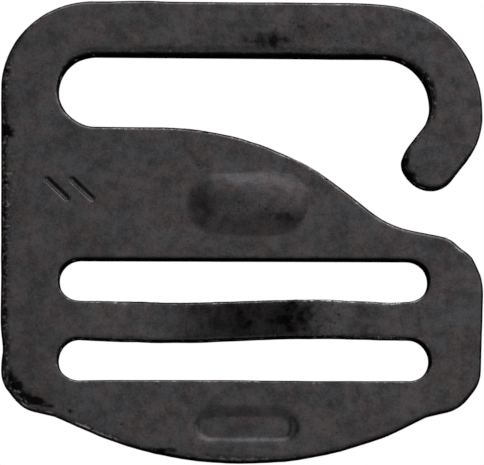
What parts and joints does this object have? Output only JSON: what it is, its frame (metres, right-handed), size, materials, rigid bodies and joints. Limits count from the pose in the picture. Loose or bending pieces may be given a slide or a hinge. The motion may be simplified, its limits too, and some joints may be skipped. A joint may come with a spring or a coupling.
{
  "type": "g-hook",
  "caption": "Flat steel G-hook for webbing: open hook slot with a bent finger, webbing slots with a wavy bar between them, pressed blister and curved thumb tab.",
  "frame": {"origin": "under the middle of the outline, level with the lowest point of the wavy bar", "axes": "+X along the webbing slots, towards the hook's bend and mouth; +Y in the plate, towards the hook's top bar; +Z along the plate's normal, towards the face with the raised blister"},
  "size_m": [0.0526, 0.0506, 0.0057],
  "materials": {
    "dark_steel": "dark charcoal black-oxide or phosphate coat, semi-matt, faintly mottled brown and blue, with small pits and bright worn edges"
  },
  "bodies": {
    "root": {"g_hook": "dark_steel"}
  },
  "joints": []
}
